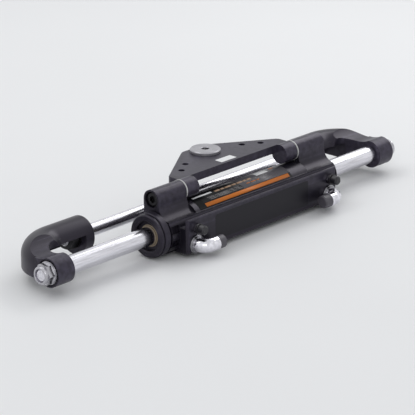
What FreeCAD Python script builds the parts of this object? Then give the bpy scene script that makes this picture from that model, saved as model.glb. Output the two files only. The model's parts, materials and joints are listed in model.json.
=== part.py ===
import FreeCAD, Part
import math
import os

# Hydraulic steering cylinder for an outboard engine, in millimetres.
# X runs along the rods, Y to the rear (towards the engine), Z up.
# The origin is the middle of the support rod, which passes through the engine's tilt tube.
# The sizes below are driving dimensions; everything else is worked out from them.

V = FreeCAD.Vector
X_AXIS = V(1, 0, 0)
Y_AXIS = V(0, 1, 0)
Z_AXIS = V(0, 0, 1)

# fits and clearances
RUNNING_FIT = 0.05        # radial play of a part that slides or turns on another
PLAY = 0.3                # gap between faces that pass each other
SEAT_PLAY = 0.1           # radial play of a bolt or nipple in its hole

# rods
ROD_D = 22.2              # through rod of the cylinder
SUPPORT_D = 15.9          # support rod
AXIS_Y = -59.0            # cylinder axis in front of the support rod
AXIS_Z = -3.0             # and below it
STUD_D = 15.8             # threaded end of the cylinder rod
ROD_CHAMFER = 1.6

# travel
STROKE = 203.2            # 8 in in all
STROKE_REST = 5.9         # left between piston and gland at full travel
BOSS_CLEARANCE = 4.7      # left between gland and bracket at full travel
BODY_X = 26.6             # body off the middle, where the photograph shows it

# cylinder body
BORE_D = 37.0
BARREL_D = 54.0
BLOCK_SETBACK = 13.7      # end of the barrel to the end of the square front
BLOCK_FRONT = 38.0        # cylinder axis to the flat front panel
BLOCK_TOP = 20.1
BLOCK_BOTTOM = 21.8
BLOCK_EDGE = 1.2
BLOCK_END_CHAMFER = 3.0
GROOVE_EDGE = 0.6
GROOVE_WALL = 3.6         # thickness of the panel's top edge, in front of the groove
GROOVE_FLOOR = 9.0
THREAD_D = 43.0           # gland thread in the body's ends
THREAD_DEPTH = 20.7
THREAD_NOSE = 5.5         # smooth nose of the gland inside its thread
EAR_L = 47.7
EAR_D = 24.2
PIVOT_Y = 6.8
PIVOT_RISE = 12.5         # pivot axis above the barrel's crown
COVE_R = 16.6             # hollow flank between an ear and its foot
FOOT_DROP = 9.5           # barrel's crown down to the ears' feet
FOOT_LIP = 1.2            # height of the ears' foot left between them
WINDOW_CORNER = 8.0
POCKETS = 7               # shallow pockets round the ends of the barrel
POCKET_FIRST = 18.0       # degrees of the first one above the front
POCKET_PITCH = 36.0
BARREL_POCKET_L = 12.8
BARREL_POCKET_W = 9.0
BARREL_POCKET_DEPTH = 4.0
BARREL_POCKET_RIM = 0.4   # left at the very end of the barrel

# glands
GLAND_COLLAR_D = 54.0     # collar outside the body, on the left-hand gland only
GLAND_COLLAR_L = 10.8
GLAND_COLLAR_BEVEL = 2.6
GLAND_NECK_D = 49.0       # narrow groove between the collar and the end ring
GLAND_NECK_L = 1.5
GLAND_RING_D = 52.0
GLAND_RING_L = 3.7
GLAND_RECESS_D = 36.0
GLAND_RECESS = 5.2
FLUSH_RECESS = 2.0        # recess of the right-hand gland, which ends flush with the barrel
GLAND_EDGE = 1.4
COLLAR_EDGE = 1.0
PIN_HOLES = 4             # spanner holes in the flush gland's face
PIN_HOLE_D = 3.0
PIN_HOLE_R = 19.6
PIN_HOLE_DEPTH = 5.0
SEAL_LAND = 3.0           # wall between the wiper's seat and the rod seal's
WIPER_D = 27.0
WIPER_L = 5.0
ROD_SEAL_D = 30.0
ROD_SEAL_L = 6.0
WIPER_LIP = 1.8
WIPER_SHOULDER = 1.2
SEAL_HOLLOW = 1.6
GLAND_SEAL_SECTION = 2.2

# piston
PISTON_L = 28.0
PISTON_SEAL_L = 6.0
PISTON_SEAL_DEPTH = 3.0
WEAR_RING_L = 5.0
WEAR_RING_DEPTH = 1.5
RING_SECTION = 1.8        # retaining rings beside the piston
RING_DEPTH = 0.9
RING_STAND = 1.5          # height of a retaining ring above the rod

# brackets
BOSS_D = 35.0
BOSS_L = 25.4
TUBE_D = 44.0
TUBE_L = 112.0
COLLAR_L = 14.5
CORNER_R = 61.0           # plan radius of the outer rear corner, where the tube bends into the arm
ARM_BOTTOM = 11.7
ARM_TOP = 15.0
SADDLE_R = 37.6           # hollow across the arm's top, between the boss and the bend
SADDLE_Y = 19.1
SADDLE_FLOOR = 13.3
INNER_CORNER_R = 20.0
WEB_TAPER = 15.0          # run-out of the corner's walls along the tube
POCKET_TOP = 9.0
POCKET_WALL = 8.0
POCKET_D = 31.0
POCKET_REAR_WALL = 7.0    # wall left round the bend
NUT_ROOM_PLAY = 1.2
SPOTFACE_D = 31.5
SPOTFACE = 3.0
BRACKET_EDGE = 2.0

# fasteners
HEX_TURN = 30.0           # degrees that lay a flat, not a corner, to the front
NUT_EDGE = 1.0
NUT_CORNER = 1.6          # corners of the support nut past its flats
ROD_TIP = 1.5             # stud end inside its nut
SUPPORT_TIP = 3.0         # support rod past its nut
ROD_WASHER_D = 27.5
ROD_WASHER = 3.0
ROD_NUT_AF = 22.2
ROD_NUT_FLANGE_D = 26.0
ROD_NUT_FLANGE = 2.4
ROD_NUT_HEX = 6.6
ROD_NUT_COLLAR_D = 21.4
ROD_NUT_COLLAR = 3.9
SUPPORT_NUT_AF = 24.0
SUPPORT_NUT_L = 12.0
SUPPORT_WASHER_D = 28.0
SUPPORT_WASHER = 2.4

# pivot plate
PLATE_T = 10.0
PLATE_RISE = 11.4         # plate's top above the pivot axis
PLATE_REAR = 78.6
PLATE_SHOULDER = 26.7
PLATE_APEX_HALF = 20.0
PLATE_CORNER_R = 9.0
PLATE_FRONT = 11.0        # front face between the two barrels
PLATE_EDGE = 0.8
STUB_L = 20.0             # length of each hinge barrel
STUB_LEDGE = 2.0          # closed inner end of a hinge barrel
THRUST_WASHER = 1.7
THRUST_WASHER_D = 25.0
PIN_D = 12.0
PIN_HEAD_D = 17.0
PIN_HEAD = 7.0
PIN_SOCKET_AF = 8.0
PIN_SOCKET_DEPTH = 4.0
PIN_SHORT = 0.5           # pin's tip short of that closed end
PIN_EDGE = 1.0
EAR_COUNTERBORE_D = 19.4
EAR_COUNTERBORE = 9.0
BUSH_WALL = 2.0
INNER_HOLE_X = 50.3
INNER_HOLE_Y = 43.6
OUTER_HOLE_X = 70.4
OUTER_HOLE_Y = 31.1
PLATE_HOLE_D = 8.0

# tiller bushing
TILLER_Y = 57.8
TILLER_FLANGE_D = 37.8
TILLER_FLANGE = 4.3
TILLER_SHANK_D = 25.0
TILLER_BORE_D = 9.5
TILLER_TAIL = 2.0         # shank below its retaining ring
SNAP_RING_STAND = 2.0     # retaining ring past the shank
SNAP_RING = 1.5
SNAP_GROOVE_DEPTH = 1.2
SNAP_GAP = 4.0
FLANGE_EDGE = 1.2
BORE_EDGE = 0.8

# ports
FITTING_INSET = 2.5       # ports inside the glands' inner faces
PORT_Z = -12.0
BLEED_Z = 8.0
PORT_D = 12.6
PORT_DEPTH = 10.0
PORT_DRILL_D = 5.0
ELBOW_D = 17.0
ELBOW_REACH = 14.5        # panel to the middle of the elbow's leg
ELBOW_BEND = 9.5
ELBOW_LEG = 18.0
ELBOW_RING_D = 23.0
ELBOW_RING = 3.4
ELBOW_RING_STEP = 1.5     # each of the ring's two steps, in radius
ELBOW_RING_EDGE = 0.4
CAP_D = 16.0
CAP_L = 12.0
CAP_WALL = 1.6
CAP_EDGE = 1.5
SPIGOT_SHORT = 3.0        # spigot end inside the cap
SPIGOT_D = 9.0
SPIGOT_BORE_D = 5.0
BLEED_HOLE_D = 9.0
BLEED_DEPTH = 8.0
BLEED_DRILL_D = 2.5
BLEED_HEX_AF = 11.0
BLEED_HEX = 4.0
NIPPLE_D = 6.0
NIPPLE_L = 9.0
NIPPLE_BEAD = 1.2
NIPPLE_BORE_D = 2.0
BLEED_CAP_D = 11.0
BLEED_CAP_L = 11.0
BLEED_CAP_EDGE = 1.6
BLEED_CAP_BEAD = 1.2
BLEED_CAP_BEAD_L = 2.0

# worked-out values
HALF_STROKE = STROKE / 2
ROD_R = ROD_D / 2
BORE_R = BORE_D / 2
EAR_R = EAR_D / 2
PIVOT_Z = BARREL_D / 2 + PIVOT_RISE
PLATE_TOP = PIVOT_Z + PLATE_RISE
FOOT_Z = BARREL_D / 2 - FOOT_DROP
PISTON_D = BORE_D - 2 * PLAY
SUPPORT_Y = -AXIS_Y
SUPPORT_Z = -AXIS_Z
GLAND_INNER = HALF_STROKE + PISTON_L / 2 + STROKE_REST
THREAD_START = GLAND_INNER + THREAD_NOSE
BARREL_HALF = THREAD_START + THREAD_DEPTH
BLOCK_HALF = BARREL_HALF - BLOCK_SETBACK
EAR_INNER = BARREL_HALF - EAR_L
FITTING_X = GLAND_INNER - FITTING_INSET
GLAND_FACE = BARREL_HALF + GLAND_COLLAR_L + GLAND_NECK_L + GLAND_RING_L
BOSS_INNER = GLAND_FACE + HALF_STROKE + BOSS_CLEARANCE
BOSS_OUTER = BOSS_INNER + BOSS_L
RIM_X = BOSS_OUTER - TUBE_L
BEND_X = BOSS_OUTER - CORNER_R
BEND_Y = SUPPORT_Y + TUBE_D / 2 - CORNER_R
BEND_R = CORNER_R - TUBE_D / 2
COLLAR_X = RIM_X + COLLAR_L
STUB_OUTER = EAR_INNER - THRUST_WASHER - PLAY
STUB_INNER = STUB_OUTER - STUB_L
PLATE_BOTTOM = PLATE_TOP - PLATE_T
PIN_TIP = STUB_INNER + STUB_LEDGE + PIN_SHORT
PIN_SEAT = BARREL_HALF - EAR_COUNTERBORE
SNAP_TOP = PLATE_BOTTOM - PLAY
BIG = 400.0               # further than any face of the part


def rod_x(diameter, x0, x1, y=0.0, z=0.0):
    """Cylinder along X between two stations."""
    return Part.makeCylinder(diameter / 2, x1 - x0, V(x0, y, z), X_AXIS)


def ring_x(outer, inner, x0, x1, y=0.0, z=0.0):
    """Ring along X; the inner cut runs past both faces."""
    hole = rod_x(inner, x0 - 1, x1 + 1, y, z)
    return rod_x(outer, x0, x1, y, z).cut(hole)


def rod_y(diameter, y0, y1, x, z):
    return Part.makeCylinder(diameter / 2, y1 - y0, V(x, y0, z), Y_AXIS)


def rod_z(diameter, z0, z1, x, y):
    return Part.makeCylinder(diameter / 2, z1 - z0, V(x, y, z0), Z_AXIS)


def block(x0, x1, y0, y1, z0, z1):
    return Part.makeBox(x1 - x0, y1 - y0, z1 - z0, V(x0, y0, z0))


def prism(points, direction):
    """Closed outline of straight sides, pushed along a direction."""
    wire = Part.makePolygon(points + [points[0]])
    return Part.Face(wire).extrude(direction)


def section_yz(outline, x0, x1):
    return prism([V(x0, y, z) for y, z in outline], V(x1 - x0, 0, 0))


def hexagon(across_flats, length, base, direction, turn=0.0):
    """Hexagonal bar standing on base, along direction."""
    corner = across_flats / math.sqrt(3)
    angles = [math.radians(60 * i + turn) for i in range(6)]
    points = [V(corner * math.cos(a), corner * math.sin(a), 0) for a in angles]
    bar = prism(points, V(0, 0, length))
    bar.Placement = FreeCAD.Placement(base, FreeCAD.Rotation(Z_AXIS, direction))
    return bar


def turned(profile, y=0.0, z=0.0):
    """Revolve an outline of (x, radius) points about the X line through (y, z)."""
    points = [V(x, y, z + r) for x, r in profile]
    wire = Part.makePolygon(points + [points[0]])
    return Part.Face(wire).revolve(V(0, y, z), X_AXIS, 360)


def joined(shapes):
    result = shapes[0].fuse(shapes[1:]) if len(shapes) > 1 else shapes[0]
    return result.removeSplitter()


def mirrored(shape):
    """The same piece on the other side of the middle plane."""
    return shape.mirror(V(0, 0, 0), X_AXIS)


def edges_where(shape, test):
    return [edge for edge in shape.Edges if test(edge)]


def softened(shape, radius, test, chamfer=False):
    """Round or chamfer the edges that pass the test."""
    edges = edges_where(shape, test)
    if not edges:
        return shape
    return shape.makeChamfer(radius, edges) if chamfer else shape.makeFillet(radius, edges)


def lies_at(edge, axis, value):
    """True for an edge that lies in the plane axis=value."""
    box = edge.BoundBox
    low, high = {"x": (box.XMin, box.XMax), "y": (box.YMin, box.YMax), "z": (box.ZMin, box.ZMax)}[axis]
    return abs(low - value) < 0.01 and abs(high - value) < 0.01


# Brackets and rods
# All of these are built about the cylinder axis, with the right-hand piece first.

def make_bracket():
    """End bracket: boss on the cylinder rod, arm, and open-backed tube on the support rod."""
    boss = rod_x(BOSS_D, BOSS_INNER, BOSS_OUTER)
    tube = rod_x(TUBE_D, RIM_X, BEND_X, SUPPORT_Y, SUPPORT_Z)
    above_underside = block(BEND_X - 1, BOSS_OUTER + 1, BEND_Y - 1, SUPPORT_Y + TUBE_D, -ARM_BOTTOM, TUBE_D)
    bend = quarter_bend(BEND_R, TUBE_D, BEND_X, BEND_Y, SUPPORT_Z).common(above_underside)
    bend = bend.cut(inner_corner())
    saddle = rod_x(2 * SADDLE_R, RIM_X, BOSS_OUTER + 1, SADDLE_Y, SADDLE_FLOOR + SADDLE_R)
    pocket = bracket_pocket()
    pieces = [boss, tube, bend, bend_wall(), bracket_arm()]
    body = joined([piece.cut(saddle).cut(pocket) for piece in pieces])
    body = softened(body, BRACKET_EDGE, lambda e: lies_at(e, "x", RIM_X) and e.Length > TUBE_D)
    body = body.cut(rod_x(STUD_D + 2 * SEAT_PLAY, BOSS_INNER - 1, BOSS_OUTER + 1))
    body = body.cut(rod_x(SPOTFACE_D, BOSS_OUTER - SPOTFACE, BOSS_OUTER + 1))
    body = body.cut(rod_x(SUPPORT_D + 2 * SEAT_PLAY, RIM_X - 1, COLLAR_X + 1, SUPPORT_Y, SUPPORT_Z))
    return body


def quarter_bend(bend_r, diameter, x, y, z):
    """Quarter of a bent tube about the Z line through (x, y), from the +X side to the +Y side."""
    return Part.makeTorus(bend_r, diameter / 2, V(x, y, z), Z_AXIS, -180, 180, 90)


def bend_wall():
    """Upright outer wall under the bend, down to the arm's underside."""
    corner = rod_z(2 * CORNER_R, -ARM_BOTTOM, SUPPORT_Z, BEND_X, BEND_Y)
    arm_side = block(BEND_X + BEND_R, BOSS_OUTER + 1, BEND_Y, SUPPORT_Y, -ARM_BOTTOM, SUPPORT_Z)
    rear_side = block(BEND_X, BOSS_OUTER + 1, SUPPORT_Y, BIG, -ARM_BOTTOM, SUPPORT_Z)
    return corner.common(joined([arm_side, rear_side]))


def inner_corner():
    """Room in front of the arm and the bend, with the large inner corner."""
    r = INNER_CORNER_R
    cx = BOSS_INNER - r
    cy = SUPPORT_Y - TUBE_D / 2 - r
    return joined([block(cx - BEND_R, BOSS_INNER, -BIG, cy, -BIG, BIG), rod_z(2 * r, -BIG, BIG, cx, cy)])


def bracket_arm():
    """Arm from the boss to the bend, with a large inner corner that runs out along the tube."""
    front = SUPPORT_Y - TUBE_D / 2
    r = INNER_CORNER_R
    cx = BOSS_INNER - r
    cy = front - r
    at = lambda x, y: V(x, y, -ARM_BOTTOM)
    half = r * math.sqrt(0.5)
    bend_half = BEND_R * math.sqrt(0.5)
    tube_side = SUPPORT_Y - math.sqrt((TUBE_D / 2) ** 2 - (ARM_TOP - SUPPORT_Z) ** 2)
    edges = [Part.makeLine(at(BOSS_INNER, 0), at(BOSS_INNER, cy)),
             Part.Arc(at(BOSS_INNER, cy), at(cx + half, cy + half), at(cx, front)).toShape(),
             Part.makeLine(at(cx, front), at(cx - WEB_TAPER, tube_side)),
             Part.makeLine(at(cx - WEB_TAPER, tube_side), at(BEND_X, SUPPORT_Y)),
             Part.makeLine(at(BEND_X, SUPPORT_Y), at(BEND_X + bend_half, BEND_Y + bend_half)),
             Part.makeLine(at(BEND_X + bend_half, BEND_Y + bend_half), at(BEND_X + BEND_R, BEND_Y + 1)),
             Part.makeLine(at(BEND_X + BEND_R, BEND_Y + 1), at(BOSS_OUTER, BEND_Y + 1)),
             Part.makeLine(at(BOSS_OUTER, BEND_Y + 1), at(BOSS_OUTER, 0)),
             Part.makeLine(at(BOSS_OUTER, 0), at(BOSS_INNER, 0))]
    return Part.Face(Part.Wire(edges)).extrude(V(0, 0, ARM_TOP + ARM_BOTTOM))


def bracket_pocket():
    """Pocket that opens forwards and down, where the support rod's nut is tightened."""
    end = BOSS_INNER - POCKET_WALL
    rear = SUPPORT_Y + POCKET_D / 2
    room_end = COLLAR_X + SUPPORT_WASHER + SUPPORT_NUT_L + SUPPORT_TIP + NUT_ROOM_PLAY
    opening = block(COLLAR_X, end, SUPPORT_Y - TUBE_D, SUPPORT_Y, -TUBE_D, POCKET_TOP)
    below = block(COLLAR_X, room_end, SUPPORT_Y - 1, rear, -TUBE_D, SUPPORT_Z)
    behind = block(room_end - 1, end, SUPPORT_Y - 1, rear, -TUBE_D, POCKET_TOP)
    nut_room = rod_x(POCKET_D, COLLAR_X, room_end, SUPPORT_Y, SUPPORT_Z)
    keep = rod_z(2 * (CORNER_R - POCKET_REAR_WALL), -BIG, BIG, BEND_X, BEND_Y)
    straight = block(RIM_X, BEND_X, -BIG, BIG, -BIG, BIG)
    return joined([opening, below, behind, nut_room]).common(joined([keep, straight]))


def make_cylinder_rod():
    """Through rod with a threaded stud at each end and two ring grooves for the piston."""
    r = ROD_R
    stud_r = STUD_D / 2
    tip = rod_nut_end() - ROD_TIP
    half = [(0, 0), (0, r), (BOSS_INNER - ROD_CHAMFER, r), (BOSS_INNER, r - ROD_CHAMFER),
            (BOSS_INNER, stud_r), (tip - ROD_CHAMFER, stud_r), (tip, stud_r - ROD_CHAMFER), (tip, 0)]
    right = turned(half)
    rod = joined([right, mirrored(right)])
    for side in (-1, 1):
        near = PISTON_L / 2
        x0, x1 = sorted((side * near, side * (near + RING_SECTION)))
        rod = rod.cut(ring_x(ROD_D + 2, ROD_D - 2 * RING_DEPTH, x0, x1))
    return rod


def rod_nut_end():
    return BOSS_OUTER + ROD_NUT_FLANGE + ROD_NUT_HEX + ROD_NUT_COLLAR


def make_support_rod():
    end = COLLAR_X + SUPPORT_WASHER + SUPPORT_NUT_L + SUPPORT_TIP
    r = SUPPORT_D / 2
    outline = [(-end, 0), (-end, r - ROD_CHAMFER), (-end + ROD_CHAMFER, r), (end - ROD_CHAMFER, r),
               (end, r - ROD_CHAMFER), (end, 0)]
    return turned(outline, SUPPORT_Y, SUPPORT_Z)


def make_rod_washer():
    x0 = BOSS_OUTER - SPOTFACE
    return ring_x(ROD_WASHER_D, STUD_D + 2 * SEAT_PLAY, x0, x0 + ROD_WASHER)


def make_rod_nut():
    """Flanged lock nut with a round collar at its outer end."""
    x0 = BOSS_OUTER - SPOTFACE + ROD_WASHER
    x1 = x0 + ROD_NUT_FLANGE
    x2 = x1 + ROD_NUT_HEX
    x3 = x2 + ROD_NUT_COLLAR
    flange = turned([(x0, 0), (x0, ROD_NUT_FLANGE_D / 2), (x0 + NUT_EDGE, ROD_NUT_FLANGE_D / 2),
                     (x1, ROD_NUT_AF / 2), (x1, 0)])
    bar = hexagon(ROD_NUT_AF, x2 - x0, V(x0, 0, 0), X_AXIS, HEX_TURN)
    collar_r = ROD_NUT_COLLAR_D / 2
    collar = turned([(x2 - 1, 0), (x2 - 1, collar_r), (x3 - NUT_EDGE, collar_r), (x3, collar_r - NUT_EDGE),
                     (x3, 0)])
    nut = joined([flange, bar, collar])
    return nut.cut(rod_x(STUD_D, x0 - 1, x3 + 1))


def make_support_washer():
    return ring_x(SUPPORT_WASHER_D, SUPPORT_D, COLLAR_X, COLLAR_X + SUPPORT_WASHER, SUPPORT_Y, SUPPORT_Z)


def make_support_nut():
    x0 = COLLAR_X + SUPPORT_WASHER
    x1 = x0 + SUPPORT_NUT_L
    flat = SUPPORT_NUT_AF / 2
    corner = flat + NUT_CORNER
    bar = hexagon(SUPPORT_NUT_AF, SUPPORT_NUT_L, V(x0, SUPPORT_Y, SUPPORT_Z), X_AXIS, HEX_TURN)
    round_off = turned([(x0, 0), (x0, flat), (x0 + NUT_EDGE, corner), (x1 - NUT_EDGE, corner), (x1, flat),
                        (x1, 0)], SUPPORT_Y, SUPPORT_Z)
    return bar.common(round_off).cut(rod_x(SUPPORT_D, x0 - 1, x1 + 1, SUPPORT_Y, SUPPORT_Z))


# Piston, fixed on the rod

def piston_bands():
    """Stations of the seal groove and of the two wear-ring grooves."""
    seal = (-PISTON_SEAL_L / 2, PISTON_SEAL_L / 2)
    middle = (PISTON_SEAL_L / 2 + PISTON_L / 2) / 2
    wear = (middle - WEAR_RING_L / 2, middle + WEAR_RING_L / 2)
    return seal, wear


def make_piston():
    seal, wear = piston_bands()
    piston = ring_x(PISTON_D, ROD_D, -PISTON_L / 2, PISTON_L / 2)
    piston = piston.cut(ring_x(PISTON_D + 2, PISTON_D - 2 * PISTON_SEAL_DEPTH, *seal))
    for x0, x1 in (wear, (-wear[1], -wear[0])):
        piston = piston.cut(ring_x(PISTON_D + 2, PISTON_D - 2 * WEAR_RING_DEPTH, x0, x1))
    return piston


def make_piston_seal():
    seal, _ = piston_bands()
    return ring_x(BORE_D - 2 * RUNNING_FIT, PISTON_D - 2 * PISTON_SEAL_DEPTH, *seal)


def make_wear_rings():
    _, wear = piston_bands()
    ring = ring_x(BORE_D - 2 * RUNNING_FIT, PISTON_D - 2 * WEAR_RING_DEPTH, *wear)
    return Part.makeCompound([ring, mirrored(ring)])


def make_piston_rings():
    """Retaining rings that hold the piston on the rod."""
    x0 = PISTON_L / 2
    ring = ring_x(ROD_D + 2 * RING_STAND, ROD_D - 2 * RING_DEPTH, x0, x0 + RING_SECTION)
    return Part.makeCompound([ring, mirrored(ring)])


# Cylinder body, which slides along the rod

def ear_outline(x):
    """Closed section of an ear: round eye, straight back, hollow flank and foot."""
    front = PIVOT_Y - EAR_R
    rear = PIVOT_Y + EAR_R
    cove_y = front - COVE_R
    cove_z = FOOT_Z + COVE_R
    half = COVE_R * math.sqrt(0.5)
    top = V(x, front, PIVOT_Z)
    flank_top = V(x, front, cove_z)
    flank_mid = V(x, cove_y + half, cove_z - half)
    foot = V(x, cove_y, FOOT_Z)
    inside_front = V(x, cove_y + 5, FOOT_Z - 7)
    inside_rear = V(x, rear, FOOT_Z - 7)
    back = V(x, rear, PIVOT_Z)
    crown = V(x, PIVOT_Y, PIVOT_Z + EAR_R)
    edges = [Part.makeLine(top, flank_top), Part.Arc(flank_top, flank_mid, foot).toShape(),
             Part.makeLine(foot, inside_front), Part.makeLine(inside_front, inside_rear),
             Part.makeLine(inside_rear, back), Part.Arc(back, crown, top).toShape()]
    return Part.Face(Part.Wire(edges))


def window_cutter():
    """Gap between the ears: full width, with rounded lower corners."""
    low = FOOT_Z + FOOT_LIP
    r = WINDOW_CORNER
    cutter = block(-EAR_INNER, EAR_INNER, -BIG, BIG, low, BIG)
    lower_corner = lambda e: abs(e.BoundBox.ZMax - low) < 0.01 and e.BoundBox.YLength > BIG
    return softened(cutter, r, lower_corner)


def body_section():
    """Square front of the body, with the groove behind the panel's top edge."""
    front = -BLOCK_FRONT
    groove = front + GROOVE_WALL
    e = BLOCK_EDGE
    g = GROOVE_EDGE
    return [(front, -BLOCK_BOTTOM + e), (front, BLOCK_TOP - e), (front + e, BLOCK_TOP),
            (groove - g, BLOCK_TOP), (groove, BLOCK_TOP - g), (groove, GROOVE_FLOOR + g),
            (groove + g, GROOVE_FLOOR), (0, GROOVE_FLOOR), (0, -BLOCK_BOTTOM), (front + e, -BLOCK_BOTTOM)]


def make_cylinder_body():
    cove_y = PIVOT_Y - EAR_R - COVE_R
    cove_z = FOOT_Z + COVE_R
    barrel = rod_x(BARREL_D, -BARREL_HALF, BARREL_HALF)
    hollow = rod_x(2 * COVE_R, EAR_INNER, BARREL_HALF + 1, cove_y, cove_z)
    above_foot = block(EAR_INNER, BARREL_HALF + 1, -BIG, cove_y, FOOT_Z, BIG)
    for cut in (hollow, above_foot):
        barrel = barrel.cut([cut, mirrored(cut)])
    front = section_yz(body_section(), -BLOCK_HALF, BLOCK_HALF)
    front = softened(front, BLOCK_END_CHAMFER, is_panel_end, True)
    ears = ear_outline(-BARREL_HALF).extrude(V(2 * BARREL_HALF, 0, 0)).cut(window_cutter())
    body = joined([barrel, front, ears])
    tools = [rod_x(BORE_D, -BIG, BIG)]
    for side in (-1, 1):
        tools.append(thread_seat(side))
        tools += port_cuts(side)
        tools += ear_cuts(side)
        tools += barrel_pockets(side)
    return body.cut(tools)


def is_panel_end(edge):
    return lies_at(edge, "y", -BLOCK_FRONT) and edge.BoundBox.XLength < 0.01


def thread_seat(side):
    seat = rod_x(THREAD_D, THREAD_START, BIG)
    return seat if side > 0 else mirrored(seat)


def barrel_pockets(side):
    """Shallow pockets round the barrel, between the square front and the barrel's end."""
    x1 = BARREL_HALF - BARREL_POCKET_RIM
    half = BARREL_POCKET_W / 2
    floor = BARREL_D / 2 - BARREL_POCKET_DEPTH
    pocket = block(x1 - BARREL_POCKET_L, x1, -BARREL_D, -floor, -half, half)
    cuts = []
    for i in range(POCKETS):
        cut = pocket.copy()
        cut.rotate(V(0, 0, 0), X_AXIS, i * POCKET_PITCH - POCKET_FIRST)
        cuts.append(cut if side > 0 else mirrored(cut))
    return cuts


def port_cuts(side):
    """Port and bleed hole of one end, drilled from the flat panel into the bore."""
    x = side * FITTING_X
    front = -BLOCK_FRONT - 1
    return [rod_y(PORT_D, front, -BLOCK_FRONT + PORT_DEPTH, x, PORT_Z),
            rod_y(PORT_DRILL_D, front, 0, x, PORT_Z),
            rod_y(BLEED_HOLE_D, front, -BLOCK_FRONT + BLEED_DEPTH, x, BLEED_Z),
            rod_y(BLEED_DRILL_D, front, 0, x, BLEED_Z)]


def ear_cuts(side):
    """Pin hole and counterbore of one ear."""
    hole = rod_x(PIN_D, EAR_INNER - 1, BARREL_HALF + 1, PIVOT_Y, PIVOT_Z)
    sink = rod_x(EAR_COUNTERBORE_D, PIN_SEAT, BARREL_HALF + 1, PIVOT_Y, PIVOT_Z)
    return [hole, sink] if side > 0 else [mirrored(hole), mirrored(sink)]


def gland_seats(face, recess):
    """Outline from a gland's face inwards: recess, wiper's seat, land and rod seal's seat."""
    recess_x = face - recess
    recess_r = GLAND_RECESS_D / 2
    bore_r = ROD_R + RUNNING_FIT
    seal_x = recess_x - WIPER_L - SEAL_LAND
    return [(face, recess_r + GLAND_EDGE), (face - GLAND_EDGE, recess_r), (recess_x, recess_r),
            (recess_x, WIPER_D / 2), (recess_x - WIPER_L, WIPER_D / 2), (recess_x - WIPER_L, bore_r),
            (seal_x, bore_r), (seal_x, ROD_SEAL_D / 2), (seal_x - ROD_SEAL_L, ROD_SEAL_D / 2),
            (seal_x - ROD_SEAL_L, bore_r)]


def gland_barrel():
    """Outline of a gland inside the body: smooth nose, then the thread."""
    nose_r = BORE_R - RUNNING_FIT
    return [(GLAND_INNER, ROD_R + RUNNING_FIT), (GLAND_INNER, nose_r), (THREAD_START, nose_r),
            (THREAD_START, THREAD_D / 2), (BARREL_HALF, THREAD_D / 2)]


def seal_grooved(gland):
    return gland.cut(ring_x(BORE_D + 2, BORE_D - 2 * GLAND_SEAL_SECTION, *gland_seal_station()))


def make_collar_gland():
    """Left-hand gland, built on the right: a bevelled collar and an end ring stand outside the body."""
    collar_r = GLAND_COLLAR_D / 2
    collar_end = BARREL_HALF + GLAND_COLLAR_L
    ring_start = collar_end + GLAND_NECK_L
    neck_r = GLAND_NECK_D / 2
    ring_r = GLAND_RING_D / 2
    face = GLAND_FACE
    outside = [(BARREL_HALF, collar_r - GLAND_COLLAR_BEVEL), (BARREL_HALF + GLAND_COLLAR_BEVEL, collar_r),
               (collar_end - COLLAR_EDGE, collar_r), (collar_end, collar_r - COLLAR_EDGE),
               (collar_end, neck_r), (ring_start, neck_r), (ring_start, ring_r), (face - GLAND_EDGE, ring_r),
               (face, ring_r - GLAND_EDGE)]
    return seal_grooved(turned(gland_barrel() + outside + gland_seats(face, GLAND_RECESS)))


def make_flush_gland():
    """Right-hand gland, flush with the barrel's end, with spanner holes in its face."""
    gland = seal_grooved(turned(gland_barrel() + gland_seats(BARREL_HALF, FLUSH_RECESS)))
    holes = []
    for i in range(PIN_HOLES):
        hole = rod_x(PIN_HOLE_D, BARREL_HALF - PIN_HOLE_DEPTH, BARREL_HALF + 1, 0, PIN_HOLE_R)
        hole.rotate(V(0, 0, 0), X_AXIS, 360 * (i + 0.5) / PIN_HOLES)
        holes.append(hole)
    return gland.cut(holes)


def gland_seal_station():
    middle = (GLAND_INNER + THREAD_START) / 2
    return middle - GLAND_SEAL_SECTION * 0.7, middle + GLAND_SEAL_SECTION * 0.7


def make_gland_seal():
    return ring_x(BORE_D - 2 * RUNNING_FIT, BORE_D - 2 * GLAND_SEAL_SECTION, *gland_seal_station())


def make_rod_wiper(face, recess):
    """Wiper with a lip that leans outwards onto the rod."""
    x1 = face - recess
    x0 = x1 - WIPER_L
    inner = ROD_R + RUNNING_FIT
    outer = WIPER_D / 2
    tip = x1 + WIPER_LIP
    return turned([(x0, inner), (x0, outer), (x1, outer), (x1, outer - WIPER_SHOULDER),
                   (tip, inner + WIPER_LIP / 2), (tip, inner)])


def make_rod_seal(face, recess):
    x1 = face - recess - WIPER_L - SEAL_LAND
    inner = ROD_R + RUNNING_FIT
    outer = ROD_SEAL_D / 2
    middle = (inner + outer) / 2
    x0 = x1 - ROD_SEAL_L
    return turned([(x0, inner), (x0 + SEAL_HOLLOW, middle), (x0, outer), (x1, outer), (x1, inner)])


# Ports and bleed screws, on the flat panel

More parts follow.
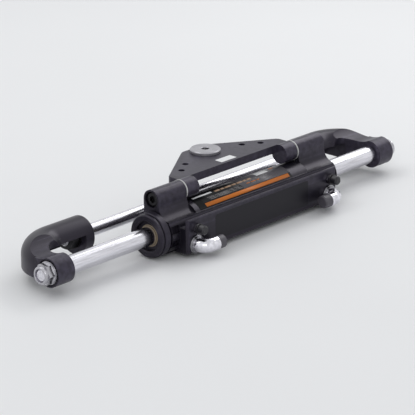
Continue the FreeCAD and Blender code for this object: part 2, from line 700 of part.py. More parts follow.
def make_elbow():
    """Port elbow: threaded stem, quarter bend, leg towards the middle and a spigot."""
    x = FITTING_X
    panel = -BLOCK_FRONT
    y = panel - ELBOW_REACH
    thread = rod_y(PORT_D - 2 * SEAT_PLAY, panel - ELBOW_RING, panel + PORT_DEPTH - 1, x, PORT_Z)
    stem = rod_y(ELBOW_D, y + ELBOW_BEND, panel - ELBOW_RING, x, PORT_Z)
    bend = quarter_bend(ELBOW_BEND, ELBOW_D, x - ELBOW_BEND, y + ELBOW_BEND, PORT_Z)
    bend.rotate(V(x - ELBOW_BEND, y + ELBOW_BEND, 0), Z_AXIS, -90)
    leg = rod_x(ELBOW_D, x - ELBOW_LEG, x - ELBOW_BEND, y, PORT_Z)
    spigot_end = x - ELBOW_LEG - CAP_L + SPIGOT_SHORT
    spigot = rod_x(SPIGOT_D, spigot_end, x - ELBOW_LEG + 1, y, PORT_Z)
    elbow = joined([thread, stem, bend, leg, spigot])
    across = rod_x(SPIGOT_BORE_D, spigot_end - 1, x, y, PORT_Z)
    inwards = rod_y(SPIGOT_BORE_D, y, panel + PORT_DEPTH, x, PORT_Z)
    return elbow.cut([across, inwards])


def make_elbow_ring():
    """Round stepped ring that seals the elbow against the panel."""
    panel = -BLOCK_FRONT
    middle = panel - ELBOW_RING / 2
    wide = rod_y(ELBOW_RING_D, middle, panel, FITTING_X, PORT_Z)
    narrow = rod_y(ELBOW_RING_D - 2 * ELBOW_RING_STEP, panel - ELBOW_RING, middle, FITTING_X, PORT_Z)
    ring = softened(joined([wide, narrow]), ELBOW_RING_EDGE, is_ring_rim, True)
    return ring.cut(rod_y(PORT_D, panel - ELBOW_RING - 1, panel + 1, FITTING_X, PORT_Z))


def is_ring_rim(edge):
    return lies_at(edge, "y", -BLOCK_FRONT - ELBOW_RING / 2) or lies_at(edge, "y", -BLOCK_FRONT - ELBOW_RING)


def make_port_cap():
    """Shipping cap pushed over the elbow's spigot."""
    x1 = FITTING_X - ELBOW_LEG
    x0 = x1 - CAP_L
    y = -BLOCK_FRONT - ELBOW_REACH
    r = CAP_D / 2
    outline = [(x0, 0), (x0, r - CAP_EDGE), (x0 + CAP_EDGE, r), (x1, r), (x1, SPIGOT_D / 2 + SEAT_PLAY),
               (x0 + CAP_WALL, SPIGOT_D / 2 + SEAT_PLAY), (x0 + CAP_WALL, 0)]
    return turned(outline, y, PORT_Z)


def make_bleed_screw():
    """Bleed screw: thread, hexagon and hollow nipple."""
    x = FITTING_X
    panel = -BLOCK_FRONT
    hex_y = panel - PLAY
    nipple_end = hex_y - BLEED_HEX - NIPPLE_L
    thread = rod_y(BLEED_HOLE_D - 2 * SEAT_PLAY, hex_y, panel + BLEED_DEPTH - 1, x, BLEED_Z)
    head = hexagon(BLEED_HEX_AF, BLEED_HEX, V(x, hex_y, BLEED_Z), V(0, -1, 0))
    nipple = rod_y(NIPPLE_D, nipple_end, hex_y, x, BLEED_Z)
    bead = rod_y(NIPPLE_D + NIPPLE_BEAD, nipple_end, nipple_end + 2 * NIPPLE_BEAD, x, BLEED_Z)
    screw = joined([thread, head, nipple, bead])
    return screw.cut(rod_y(NIPPLE_BORE_D, nipple_end - 1, panel + BLEED_DEPTH / 2, x, BLEED_Z))


def make_bleed_cap():
    """Rubber dust cap over the nipple."""
    x = FITTING_X
    y1 = -BLOCK_FRONT - PLAY - BLEED_HEX
    y0 = y1 - BLEED_CAP_L
    r = BLEED_CAP_D / 2
    inner = (NIPPLE_D + NIPPLE_BEAD) / 2
    bead_r = r + BLEED_CAP_BEAD
    bead_y = y1 - BLEED_CAP_BEAD_L
    roof = y1 - NIPPLE_L - SEAT_PLAY
    points = [(0, y0), (r - BLEED_CAP_EDGE, y0), (r, y0 + BLEED_CAP_EDGE), (r, bead_y), (bead_r, bead_y),
              (bead_r, y1), (inner, y1), (inner, roof), (0, roof)]
    wire = Part.makePolygon([V(x + a, b, BLEED_Z) for a, b in points + [points[0]]])
    return Part.Face(wire).revolve(V(x, 0, BLEED_Z), Y_AXIS, 360)


# Pivot pins and the plate they carry

def make_pivot_pin():
    """Socket-head pin through an ear into the plate's barrel."""
    head_end = PIN_SEAT + PIN_HEAD
    r = PIN_D / 2
    head_r = PIN_HEAD_D / 2
    outline = [(PIN_TIP, 0), (PIN_TIP, r - PIN_EDGE), (PIN_TIP + PIN_EDGE, r), (PIN_SEAT, r),
               (PIN_SEAT, head_r), (head_end - PIN_EDGE, head_r), (head_end, head_r - PIN_EDGE),
               (head_end, 0)]
    socket_base = V(head_end - PIN_SOCKET_DEPTH, PIVOT_Y, PIVOT_Z)
    socket = hexagon(PIN_SOCKET_AF, PIN_SOCKET_DEPTH + 1, socket_base, X_AXIS)
    return turned(outline, PIVOT_Y, PIVOT_Z).cut(socket)


def make_thrust_washer():
    return ring_x(THRUST_WASHER_D, PIN_D, EAR_INNER - THRUST_WASHER, EAR_INNER, PIVOT_Y, PIVOT_Z)


def make_plate_bush():
    inner = PIN_D + 2 * RUNNING_FIT
    return ring_x(inner + 2 * BUSH_WALL, inner, STUB_INNER + STUB_LEDGE, STUB_OUTER, PIVOT_Y, PIVOT_Z)


def make_pivot_plate():
    """Triangular plate with a hinge barrel at each front corner."""
    half = STUB_OUTER
    apex = PLATE_APEX_HALF
    outline = [V(-half, PIVOT_Y, PLATE_BOTTOM), V(-half, PLATE_SHOULDER, PLATE_BOTTOM),
               V(-apex, PLATE_REAR, PLATE_BOTTOM), V(apex, PLATE_REAR, PLATE_BOTTOM),
               V(half, PLATE_SHOULDER, PLATE_BOTTOM), V(half, PIVOT_Y, PLATE_BOTTOM)]
    plate = prism(outline, V(0, 0, PLATE_T))
    plate = softened(plate, PLATE_CORNER_R, upright_edge_behind(PLATE_SHOULDER - 1))
    plate = softened(plate, PLATE_EDGE, is_plate_rim, True)
    relief = block(-STUB_INNER, STUB_INNER, -BIG, PLATE_FRONT, -BIG, BIG)
    plate = plate.cut(relief)
    stubs = []
    hollows = []
    bush_d = PIN_D + 2 * (RUNNING_FIT + BUSH_WALL)
    for side in (-1, 1):
        x0, x1 = sorted((side * STUB_INNER, side * STUB_OUTER))
        stubs.append(rod_x(EAR_D, x0, x1, PIVOT_Y, PIVOT_Z))
        bush0, bush1 = sorted((side * (STUB_INNER + STUB_LEDGE), side * (STUB_OUTER + 1)))
        hollows.append(rod_x(bush_d, bush0, bush1, PIVOT_Y, PIVOT_Z))
    plate = joined([plate] + stubs)
    hollows.append(rod_z(TILLER_SHANK_D + 2 * RUNNING_FIT, -BIG, BIG, 0, TILLER_Y))
    for side in (-1, 1):
        hollows.append(rod_z(PLATE_HOLE_D, -BIG, BIG, side * INNER_HOLE_X, INNER_HOLE_Y))
        hollows.append(rod_z(PLATE_HOLE_D, -BIG, BIG, side * OUTER_HOLE_X, OUTER_HOLE_Y))
    return plate.cut(hollows)


def is_plate_rim(edge):
    return lies_at(edge, "z", PLATE_TOP) and edge.BoundBox.YMax > PLATE_SHOULDER


def upright_edge_behind(y):
    return lambda e: e.BoundBox.ZLength > PLATE_T - 0.1 and e.BoundBox.YMin > y


def make_tiller_bushing():
    """Flanged bushing for the tiller bolt, turning in the plate."""
    r = TILLER_FLANGE_D / 2
    shank = TILLER_SHANK_D / 2
    bore = TILLER_BORE_D / 2
    z0 = SNAP_TOP - SNAP_RING - TILLER_TAIL
    z1 = PLATE_TOP + PLAY
    z2 = z1 + TILLER_FLANGE
    points = [(bore + BORE_EDGE, z0), (shank, z0), (shank, z1), (r, z1), (r, z2 - FLANGE_EDGE),
              (r - FLANGE_EDGE, z2), (bore + BORE_EDGE, z2), (bore, z2 - BORE_EDGE), (bore, z0 + BORE_EDGE)]
    wire = Part.makePolygon([V(a, TILLER_Y, b) for a, b in points + [points[0]]])
    bushing = Part.Face(wire).revolve(V(0, TILLER_Y, 0), Z_AXIS, 360)
    groove = rod_z(TILLER_SHANK_D + 2, SNAP_TOP - SNAP_RING, SNAP_TOP, 0, TILLER_Y)
    core = rod_z(TILLER_SHANK_D - 2 * SNAP_GROOVE_DEPTH, -BIG, BIG, 0, TILLER_Y)
    return bushing.cut(groove.cut(core))


def make_snap_ring():
    """Retaining ring under the plate, open at one side."""
    gap = SNAP_GAP / 2
    inner = TILLER_SHANK_D - 2 * SNAP_GROOVE_DEPTH
    outer = TILLER_SHANK_D + 2 * SNAP_RING_STAND
    ring = rod_z(outer, SNAP_TOP - SNAP_RING, SNAP_TOP, 0, TILLER_Y)
    ring = ring.cut(rod_z(inner, -BIG, BIG, 0, TILLER_Y))
    return ring.cut(block(-gap, gap, TILLER_Y, TILLER_Y + outer, -BIG, BIG))


# Placing and saving

def save(name, shape, along=0.0):
    """Move a piece from the cylinder axis to the origin's frame and write it."""
    placed = shape.copy()
    placed.translate(V(along, AXIS_Y, AXIS_Z))
    solids = placed.Solids
    result = solids[0] if len(solids) == 1 else Part.makeCompound(solids)
    result.exportStep("parts/" + name + ".step")


def save_pair(name, shape, along=0.0):
    """Right-hand piece as built, left-hand piece as its mirror image."""
    save("right_" + name, shape, along)
    save("left_" + name, mirrored(shape), along)


def main():
    os.makedirs("parts", exist_ok=True)
    save_pair("bracket", make_bracket())
    save("cylinder_rod", make_cylinder_rod())
    save("support_rod", make_support_rod())
    save_pair("rod_washer", make_rod_washer())
    save_pair("rod_nut", make_rod_nut())
    save_pair("support_washer", make_support_washer())
    save_pair("support_nut", make_support_nut())
    save("piston", make_piston())
    save("piston_seal", make_piston_seal())
    save("piston_wear_rings", make_wear_rings())
    save("piston_retaining_rings", make_piston_rings())
    save("cylinder_body", make_cylinder_body(), BODY_X)
    save("left_gland", mirrored(make_collar_gland()), BODY_X)
    save("right_gland", make_flush_gland(), BODY_X)
    left_stack = (GLAND_FACE, GLAND_RECESS)
    right_stack = (BARREL_HALF, FLUSH_RECESS)
    for name, make in {"rod_wiper": make_rod_wiper, "rod_seal": make_rod_seal}.items():
        save("left_" + name, mirrored(make(*left_stack)), BODY_X)
        save("right_" + name, make(*right_stack), BODY_X)
    on_body = {"gland_seal": make_gland_seal, "elbow": make_elbow, "elbow_ring": make_elbow_ring,
               "port_cap": make_port_cap, "bleed_screw": make_bleed_screw, "bleed_cap": make_bleed_cap,
               "pivot_pin": make_pivot_pin, "thrust_washer": make_thrust_washer,
               "plate_bush": make_plate_bush}
    for name, make in on_body.items():
        save_pair(name, make(), BODY_X)
    save("pivot_plate", make_pivot_plate(), BODY_X)
    save("tiller_bushing", make_tiller_bushing(), BODY_X)
    save("tiller_snap_ring", make_snap_ring(), BODY_X)


main()
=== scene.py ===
import json
import math

import bmesh
import bpy
from mathutils import Matrix, Vector


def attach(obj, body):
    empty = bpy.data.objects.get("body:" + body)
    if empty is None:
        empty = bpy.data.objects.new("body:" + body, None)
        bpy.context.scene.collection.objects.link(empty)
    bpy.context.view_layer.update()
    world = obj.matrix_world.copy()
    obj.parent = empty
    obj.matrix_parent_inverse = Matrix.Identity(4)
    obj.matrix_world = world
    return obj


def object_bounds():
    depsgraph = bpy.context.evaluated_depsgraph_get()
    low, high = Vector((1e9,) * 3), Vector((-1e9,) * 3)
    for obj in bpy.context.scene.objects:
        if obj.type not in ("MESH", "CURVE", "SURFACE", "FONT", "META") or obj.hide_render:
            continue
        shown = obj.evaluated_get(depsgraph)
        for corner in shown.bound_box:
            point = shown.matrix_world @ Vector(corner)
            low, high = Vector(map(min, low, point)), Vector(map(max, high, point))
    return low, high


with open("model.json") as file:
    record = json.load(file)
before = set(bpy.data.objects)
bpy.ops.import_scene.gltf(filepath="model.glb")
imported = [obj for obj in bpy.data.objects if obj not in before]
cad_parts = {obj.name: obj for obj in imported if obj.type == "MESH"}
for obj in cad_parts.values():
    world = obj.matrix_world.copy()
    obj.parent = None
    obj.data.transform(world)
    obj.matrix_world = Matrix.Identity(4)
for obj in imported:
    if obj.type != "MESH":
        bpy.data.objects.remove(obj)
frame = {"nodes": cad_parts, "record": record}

cad_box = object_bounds()
scene = bpy.context.scene
nodes = frame["nodes"]

# Middle of the cylinder body on its axis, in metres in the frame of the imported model
BODY_X = 0.0266
AXIS_Y = -0.059
AXIS_Z = -0.003

# Faces that carry films, in mm from the body's axis
BARREL_R = 27.0
PANEL_Y = -38.0
PLATE_Z = 50.9

# Films, in mm: the gap under a flat one and under the label, and the thickness of each
FLAT_GAP = 0.02
LABEL_GAP = 0.08
LAYER_THICK = 0.1
PANEL_FILM_THICK = 0.08
STICKER_THICK = 0.12

# Facets: degrees for each step round the barrel, and steps in each rounded corner of a flat film
STRIP_STEP_DEG = 3
CORNER_STEPS = 4

# Camera fitted to the photograph: its place in metres, its three directions, and its lens in mm
CAMERA_PLACE = (-2.20314, -2.07688, 1.05541)
CAMERA_RIGHT = (0.67907158, -0.73404117, -0.00673402)
CAMERA_UP = (0.24945939, 0.22213132, 0.94256442)
CAMERA_FORWARD = (0.69038526, 0.64174858, -0.33395653)
CAMERA_LENS = 229.6
CAMERA_SENSOR = 36.0

# Casts of colour as shares of red, green and blue, and the most that a tinted colour may reach
NEUTRAL = (1.0, 1.0, 1.0)
COOL_METAL = (1.0, 0.985, 1.05)
BRONZE = (1.2, 0.8, 0.4)
VIOLET_BLACK = (1.12, 1.0, 1.5)
BRIGHTEST = 0.98

# Tint of the highlights on black anodised metal, with its alpha
VIOLET_SHEEN = (0.90, 0.82, 1.0, 1.0)

# Scale of the metals' grain along x, y and z: a small first number draws it out along the rods
DRAWN_BODY = (0.02, 1.0, 1.0)
DRAWN_ROD = (0.06, 1.0, 1.0)
EVEN = (1.0, 1.0, 1.0)

# Floor: half its width and its gap below the part, in metres
FLOOR_HALF = 6.0
FLOOR_GAP = 0.0005

# Background as seen, and the softer light that it gives
SEEN_COLOUR = (0.86, 0.87, 0.88, 1)
SEEN_STRENGTH = 1.0
FILL_COLOUR = (0.92, 0.94, 0.97, 1)
FILL_STRENGTH = 0.7

# Lamps aimed at the frame's origin: name, place, size and power in watts
LAMPS = (("overhead", (-0.3, 0.9, 1.6), (2.2, 0.7), 6),
         ("front_left", (-1.5, -1.3, 1.1), (1.0, 0.8), 4.5),
         ("right_side", (1.35, 0.1, 1.2), (1.2, 0.5), 6.5))

# Nodes that look different from the rest of their slot, with left_ and right_ left off the paired ones
VARIANTS = {"cylinder_body": "body_black",
            "pivot_plate": "plate_black",
            "pivot_pin": "dark_screw",
            "support_nut": "dark_screw",
            "support_washer": "dark_screw",
            "bleed_screw": "dark_chrome",
            "elbow_ring": "dark_chrome"}


def on_body(x, y, z):
    """Point given in mm from the middle of the cylinder body, on its axis."""
    return Vector((BODY_X + x / 1000, AXIS_Y + y / 1000, AXIS_Z + z / 1000))


def on_plate(u, v, depth):
    """Point at a height above the plate's top."""
    return on_body(u, v, PLATE_Z + depth)


def on_panel(u, v, depth):
    """Point at a distance in front of the front panel."""
    return on_body(u, PANEL_Y - depth, v)


# Camera
def add_camera():
    data = bpy.data.cameras.new("camera")
    data.sensor_width = CAMERA_SENSOR
    data.lens = CAMERA_LENS
    data.clip_end = 50.0
    camera = bpy.data.objects.new("camera", data)
    scene.collection.objects.link(camera)
    axes = (Vector(CAMERA_RIGHT), Vector(CAMERA_UP), -Vector(CAMERA_FORWARD))
    turn = Matrix(axes).transposed().to_4x4()
    camera.matrix_world = Matrix.Translation(CAMERA_PLACE) @ turn
    scene.camera = camera


# Materials
class Maker:
    """Node tree of one material, with a short call for each node."""

    def __init__(self, name):
        self.material = bpy.data.materials.new(name)
        self.material.use_nodes = True
        self.tree = self.material.node_tree
        self.shader = self.tree.nodes["Principled BSDF"]
        self.coords = self.tree.nodes.new("ShaderNodeTexCoord").outputs["Object"]

    def node(self, kind, inputs=None, **settings):
        made = self.tree.nodes.new(kind)
        for key, value in settings.items():
            setattr(made, key, value)
        for key, value in (inputs or {}).items():
            self.put(made.inputs[key], value)
        return made

    def put(self, socket, value):
        """Link the value where it comes from a node, and set it on the socket otherwise."""
        if isinstance(value, bpy.types.NodeSocket):
            self.tree.links.new(value, socket)
        else:
            socket.default_value = value

    def stretched(self, scale):
        """Object coordinates scaled by axis, for grain that runs one way."""
        return self.node("ShaderNodeMapping", {"Vector": self.coords, "Scale": scale}).outputs["Vector"]

    def noise(self, scale, detail, vector=None):
        inputs = {"Vector": vector or self.coords, "Scale": scale, "Detail": detail}
        return self.node("ShaderNodeTexNoise", inputs).outputs["Fac"]

    def spread(self, value, low=0.0, high=1.0, from_low=0.3, from_high=0.7):
        """Value mapped from its usual range to low and high."""
        inputs = {"Value": value, "From Min": from_low, "From Max": from_high, "To Min": low, "To Max": high}
        return self.node("ShaderNodeMapRange", inputs).outputs["Result"]

    def blend(self, factor, a, b):
        made = self.node("ShaderNodeMix", data_type="RGBA")
        self.put(made.inputs["Factor"], factor)
        self.put(made.inputs["A"], a)
        self.put(made.inputs["B"], b)
        return made.outputs["Result"]

    def maths(self, operation, a, b):
        made = self.node("ShaderNodeMath", operation=operation)
        self.put(made.inputs[0], a)
        self.put(made.inputs[1], b)
        return made.outputs[0]

    def bump(self, height, distance, strength, under=None):
        """Normal with the bumps of a height, over the normal under it where one is given."""
        inputs = {"Height": height, "Distance": distance, "Strength": strength}
        if under is not None:
            inputs["Normal"] = under
        return self.node("ShaderNodeBump", inputs).outputs["Normal"]

    def soft_edges(self, radius):
        return self.node("ShaderNodeBevel", {"Radius": radius}, samples=4).outputs["Normal"]

    def outer_edges(self, low, high):
        """1 on outer edges and 0 elsewhere."""
        pointed = self.node("ShaderNodeNewGeometry").outputs["Pointiness"]
        return self.spread(pointed, from_low=low, from_high=high)

    def finish(self, **sockets):
        """Put each value on the shader's socket of that name, with underscores for spaces."""
        for key, value in sockets.items():
            self.put(self.shader.inputs[key.replace("_", " ")], value)
        return self.material


def tinted(value, tint):
    """Brightness times a cast of colour, kept below full white."""
    return tuple(min(value * part, BRIGHTEST) for part in tint) + (1.0,)


def scaled(colour, factor, extra=0.0):
    """Colour times a factor with a little white added, kept at full white at most."""
    return tuple(min(part * factor + extra, 1.0) for part in colour) + (1.0,)


def anodised(name, base, roughness, grain, drawn=None):
    """Satin black anodised aluminium: fine blasted grain, even sheen, and outer edges lightened in patches
    as a painted highlight.
    """
    m = Maker(name)
    cloud = m.noise(scale=38.0, detail=3.0)
    speck = m.noise(scale=grain, detail=3.0)
    patches = m.noise(scale=160.0, detail=3.0)
    colour = m.blend(m.spread(cloud), tinted(base * 0.92, VIOLET_BLACK), tinted(base * 1.08, VIOLET_BLACK))
    # Painted highlight: outer edges made lighter in patches, standing in for light caught on the edges
    painted_edge_highlight = m.maths("MULTIPLY", m.outer_edges(low=0.54, high=0.64), m.spread(patches, low=0.1, high=0.6))
    colour = m.blend(painted_edge_highlight, colour, tinted(base * 4.0 + 0.02, VIOLET_BLACK))
    height = speck
    if drawn:
        height = m.maths("ADD", speck, m.noise(scale=900.0, detail=2.0, vector=m.stretched(drawn)))
    rough = m.spread(cloud, low=roughness - 0.015, high=roughness + 0.02)
    normal = m.bump(height, distance=0.00003, strength=0.3, under=m.soft_edges(0.0005))
    return m.finish(Base_Color=colour, Metallic=0.0, Roughness=rough, Specular_IOR_Level=0.34,
                    Specular_Tint=VIOLET_SHEEN, Normal=normal)


def polished(name, base, roughness, grain, streak):
    """Ground and polished metal, with hair-fine marks and a light bloom."""
    m = Maker(name)
    lines = m.noise(scale=grain, detail=3.0, vector=m.stretched(streak))
    bloom = m.noise(scale=30.0, detail=3.0)
    share = m.spread(lines, from_low=0.38, from_high=0.62)
    colour = m.blend(share, tinted(base * 0.84, COOL_METAL), tinted(base * 1.06, COOL_METAL))
    rough = m.spread(bloom, low=roughness * 0.8, high=roughness * 1.35)
    normal = m.bump(lines, distance=0.000012, strength=0.5, under=m.soft_edges(0.0003))
    return m.finish(Base_Color=colour, Metallic=1.0, Roughness=rough, Normal=normal)


def turned_metal(name, base, roughness, tint=COOL_METAL):
    """Turned metal for nuts, washers, screws and bushings."""
    m = Maker(name)
    marks = m.noise(scale=700.0, detail=2.0)
    cloud = m.noise(scale=90.0, detail=3.0)
    colour = m.blend(m.spread(cloud), tinted(base * 0.85, tint), tinted(base * 1.06, tint))
    rough = m.spread(marks, low=roughness - 0.06, high=roughness + 0.08)
    normal = m.bump(marks, distance=0.00003, strength=0.4, under=m.soft_edges(0.0003))
    return m.finish(Base_Color=colour, Metallic=1.0, Roughness=rough, Normal=normal)


def moulded(name, colour, roughness, dust=0.0):
    """Moulded plastic or rubber: faint pebbled skin, cloudy colour and a little dust."""
    m = Maker(name)
    skin = m.noise(scale=1400.0, detail=2.0)
    cloud = m.noise(scale=70.0, detail=3.0)
    shade = m.blend(m.spread(cloud), scaled(colour, 0.85), scaled(colour, 1.12, dust))
    rough = m.spread(skin, low=roughness - 0.05, high=roughness + 0.07)
    normal = m.bump(skin, distance=0.00005, strength=0.5, under=m.soft_edges(0.0004))
    return m.finish(Base_Color=shade, Roughness=rough, Normal=normal)


def printed(name, colour, roughness=0.32):
    """Printed label film: even ink with a slight mottle, on a nearly flat surface."""
    m = Maker(name)
    mottle = m.noise(scale=500.0, detail=2.0)
    waves = m.noise(scale=120.0, detail=2.0)
    shade = m.blend(m.spread(mottle), scaled(colour, 0.93), scaled(colour, 1.0))
    rough = m.spread(mottle, low=roughness - 0.04, high=roughness + 0.06)
    normal = m.bump(waves, distance=0.00003, strength=0.3)
    return m.finish(Base_Color=shade, Roughness=rough, Specular_IOR_Level=0.22, Normal=normal)


def pale_surface(name, value, roughness):
    m = Maker(name)
    cloud = m.noise(scale=3.0, detail=2.0)
    shade = m.blend(m.spread(cloud), tinted(value * 0.985, NEUTRAL), tinted(value, NEUTRAL))
    return m.finish(Base_Color=shade, Roughness=roughness)


def make_materials():
    """All materials of the part, by name."""
    recipes = {
        "black_anodised": (anodised, dict(base=0.011, roughness=0.34, grain=1500.0)),
        "body_black": (anodised, dict(base=0.008, roughness=0.32, grain=1500.0, drawn=DRAWN_BODY)),
        "plate_black": (anodised, dict(base=0.013, roughness=0.36, grain=1200.0)),
        "polished_rod": (polished, dict(base=0.74, roughness=0.20, grain=420.0, streak=DRAWN_ROD)),
        "chrome_fitting": (polished, dict(base=0.80, roughness=0.12, grain=200.0, streak=EVEN)),
        "dark_chrome": (polished, dict(base=0.30, roughness=0.20, grain=200.0, streak=EVEN)),
        "bright_steel": (turned_metal, dict(base=0.50, roughness=0.24)),
        "satin_alloy": (turned_metal, dict(base=0.42, roughness=0.38)),
        "dark_screw": (turned_metal, dict(base=0.05, roughness=0.38)),
        "bronze_bush": (turned_metal, dict(base=0.42, roughness=0.40, tint=BRONZE)),
        "white_polymer": (moulded, dict(colour=(0.50, 0.50, 0.49), roughness=0.42)),
        "tan_wiper": (moulded, dict(colour=(0.30, 0.24, 0.17), roughness=0.45)),
        "black_rubber": (moulded, dict(colour=(0.0095, 0.008, 0.012), roughness=0.32, dust=0.003)),
        "grey_cap": (moulded, dict(colour=(0.061, 0.056, 0.069), roughness=0.42, dust=0.006)),
        "label_grey": (printed, dict(colour=(0.11, 0.105, 0.115))),
        "label_black": (printed, dict(colour=(0.004, 0.004, 0.005))),
        "label_orange": (printed, dict(colour=(0.58, 0.165, 0.022))),
        "label_dim": (printed, dict(colour=(0.016, 0.015, 0.016))),
        "label_pale": (printed, dict(colour=(0.20, 0.19, 0.19))),
        "label_tan": (printed, dict(colour=(0.42, 0.27, 0.17))),
        "label_panel": (printed, dict(colour=(0.0100, 0.0088, 0.0135), roughness=0.34)),
        "label_white": (printed, dict(colour=(0.82, 0.82, 0.82))),
    }
    return {name: make(name, **settings) for name, (make, settings) in recipes.items()}


def dress_nodes(materials):
    """Each CAD node takes the material of its record slot, or its own variant."""
    for part in frame["record"]["subparts"]:
        name = part["node"]
        kind = name.removeprefix("left_").removeprefix("right_")
        key = VARIANTS.get(kind, part["material_slot"])
        data = nodes[name].data
        data.materials.clear()
        data.materials.append(materials[key])


# Labels
def add_mesh(name, bm, material, body):
    """New piece from the faces in bm, riding on a body."""
    bmesh.ops.recalc_face_normals(bm, faces=bm.faces)
    mesh = bpy.data.meshes.new(name)
    bm.to_mesh(mesh)
    bm.free()
    mesh.materials.append(material)
    obj = bpy.data.objects.new(name, mesh)
    scene.collection.objects.link(obj)
    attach(obj, body)
    return obj


def add_strip(bm, strip, radius):
    """Closed strip of film round the barrel, with its inside at the given radius."""
    x0, x1, a0, a1 = strip
    steps = max(2, int(abs(a1 - a0) / STRIP_STEP_DEG))
    shells = []
    for r in (radius, radius + LAYER_THICK):
        rows = []
        for i in range(steps + 1):
            a = math.radians(a0 + (a1 - a0) * i / steps)
            rows.append([bm.verts.new(on_body(x, -math.sin(a) * r, math.cos(a) * r)) for x in (x0, x1)])
        shells.append(rows)
    inner, outer = shells
    for i in range(steps):
        bm.faces.new((outer[i][0], outer[i][1], outer[i + 1][1], outer[i + 1][0]))
        bm.faces.new((inner[i][0], inner[i + 1][0], inner[i + 1][1], inner[i][1]))
        for k in (0, 1):
            bm.faces.new((inner[i][k], outer[i][k], outer[i + 1][k], inner[i + 1][k]))
    for i in (0, steps):
        bm.faces.new((inner[i][0], inner[i][1], outer[i][1], outer[i][0]))


def wrapped_film(name, strips, layer, material):
    """Strips of one ink on the barrel, in the given layer of the label from 0 up."""
    bm = bmesh.new()
    for strip in strips:
        add_strip(bm, strip, BARREL_R + LABEL_GAP + layer * LAYER_THICK)
    obj = add_mesh(name, bm, material, "cylinder")
    for face in obj.data.polygons:
        face.use_smooth = True


def bar_row(x, lengths, a0, a1, gap=1.5):
    """Short bars in a row, where the photograph shows a line of print."""
    strips = []
    for length in lengths:
        strips.append((x, x + length, a0, a1))
        x += length + gap
    return strips


def flat_film(name, low, high, corner, thick, place, material, body):
    """Rounded rectangle of film, where place(u, v, depth) gives a point in the part's frame."""
    bm = bmesh.new()
    left, front = low[0] + corner, low[1] + corner
    right, back = high[0] - corner, high[1] - corner
    outline = []
    for cx, cy, start in ((right, back, 0), (left, back, 90), (left, front, 180), (right, front, 270)):
        for i in range(CORNER_STEPS + 1):
            a = math.radians(start + 90 * i / CORNER_STEPS)
            outline.append((cx + corner * math.cos(a), cy + corner * math.sin(a)))
    bottom = [bm.verts.new(place(u, v, FLAT_GAP)) for u, v in outline]
    top = [bm.verts.new(place(u, v, FLAT_GAP + thick)) for u, v in outline]
    bm.faces.new(top)
    bm.faces.new(list(reversed(bottom)))
    count = len(outline)
    for i in range(count):
        j = (i + 1) % count
        bm.faces.new((bottom[i], bottom[j], top[j], top[i]))
    add_mesh(name, bm, material, body)


def add_labels(materials):
    """Plain fields and bars where the photograph shows print, a film on the panel and a blank sticker.

    A strip on the barrel is given as x from and to in mm, then the angle from and to in degrees,
    measured forward of straight up.
    """
    words = bar_row(-50, (9, 6, 11, 7, 10, 5, 7), 3, 10)
    lines = [bar for a in (19, 23, 27) for bar in bar_row(-76 + a / 3, (12, 8, 14, 7, 9), a, a + 2)]
    notes = [bar for a in (10, 15, 24) for bar in bar_row(-6 + a / 2, (9, 5, 8, 11), a, a + 2)]
    marks = bar_row(0, (6, 9, 5), 19, 21.5) + [(54, 62, -12, -5)]
    films = (("base", [(-92, 72, -28, 47)], 0, "black"),
             ("left_field", [(-80, -10, 17, 33)], 1, "dim"),
             ("right_field", [(-10, 72, -26, 33)], 1, "grey"),
             ("stripe", [(-80, 68, 34, 45)], 1, "orange"),
             ("white_bars", [(-88, -55, 1, 8), (26, 47, -10, 5)], 2, "white"),
             ("tan_bars", words, 2, "tan"),
             ("pale_bars", lines + notes, 2, "pale"),
             ("orange_bars", marks, 2, "orange"))
    for name, strips, layer, ink in films:
        wrapped_film("label_" + name, strips, layer, materials["label_" + ink])
    flat_film("panel_film", low=(-86, -16), high=(80, 15.5), corner=3.0, thick=PANEL_FILM_THICK,
              place=on_panel, material=materials["label_panel"], body="cylinder")
    flat_film("plate_sticker", low=(-16.5, 15.5), high=(9.8, 26.8), corner=0.8, thick=STICKER_THICK,
              place=on_plate, material=materials["label_white"], body="plate")


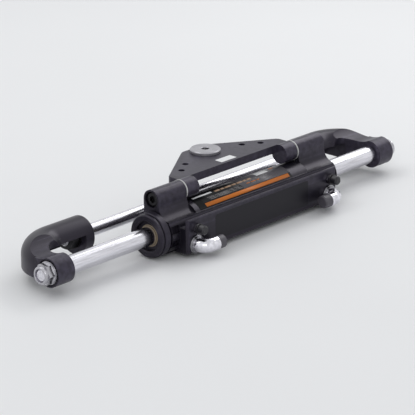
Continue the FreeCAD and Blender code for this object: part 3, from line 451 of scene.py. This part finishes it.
# Floor, light and background
def add_floor():
    z = cad_box[0][2] - FLOOR_GAP
    bm = bmesh.new()
    for x, y in ((-1, -1), (1, -1), (1, 1), (-1, 1)):
        bm.verts.new((x * FLOOR_HALF, y * FLOOR_HALF, z))
    bm.faces.new(bm.verts)
    mesh = bpy.data.meshes.new("floor")
    bm.to_mesh(mesh)
    bm.free()
    mesh.materials.append(pale_surface("floor_pale", value=0.84, roughness=0.6))
    floor = bpy.data.objects.new("floor", mesh)
    scene.collection.objects.link(floor)


def add_lamp(name, place, size, power):
    data = bpy.data.lights.new(name, "AREA")
    data.shape = "RECTANGLE"
    data.size, data.size_y = size
    data.energy = power
    lamp = bpy.data.objects.new(name, data)
    scene.collection.objects.link(lamp)
    lamp.location = place
    lamp.rotation_euler = (-Vector(place)).to_track_quat("-Z", "Y").to_euler()


def background(tree, colour, strength):
    made = tree.nodes.new("ShaderNodeBackground")
    made.inputs["Color"].default_value = colour
    made.inputs["Strength"].default_value = strength
    return made.outputs[0]


def either(tree, a, b):
    """1 for the rays where one of the two is 1."""
    made = tree.nodes.new("ShaderNodeMath")
    made.operation = "MAXIMUM"
    tree.links.new(a, made.inputs[0])
    tree.links.new(b, made.inputs[1])
    return made.outputs[0]


def add_world():
    """Plain bright background for the camera and for reflections, and a softer fill for the rest."""
    world = bpy.data.worlds.new("studio")
    scene.world = world
    world.use_nodes = True
    tree = world.node_tree
    tree.nodes.clear()
    rays = tree.nodes.new("ShaderNodeLightPath").outputs
    direct = either(tree, rays["Is Camera Ray"], rays["Is Glossy Ray"])
    mix = tree.nodes.new("ShaderNodeMixShader")
    tree.links.new(either(tree, direct, rays["Is Transmission Ray"]), mix.inputs["Fac"])
    tree.links.new(background(tree, FILL_COLOUR, FILL_STRENGTH), mix.inputs[1])
    tree.links.new(background(tree, SEEN_COLOUR, SEEN_STRENGTH), mix.inputs[2])
    out = tree.nodes.new("ShaderNodeOutputWorld")
    tree.links.new(mix.outputs[0], out.inputs["Surface"])


scene.view_settings.view_transform = "Standard"
add_camera()
finishes = make_materials()
dress_nodes(finishes)
add_labels(finishes)
add_floor()
for lamp_settings in LAMPS:
    add_lamp(*lamp_settings)
add_world()
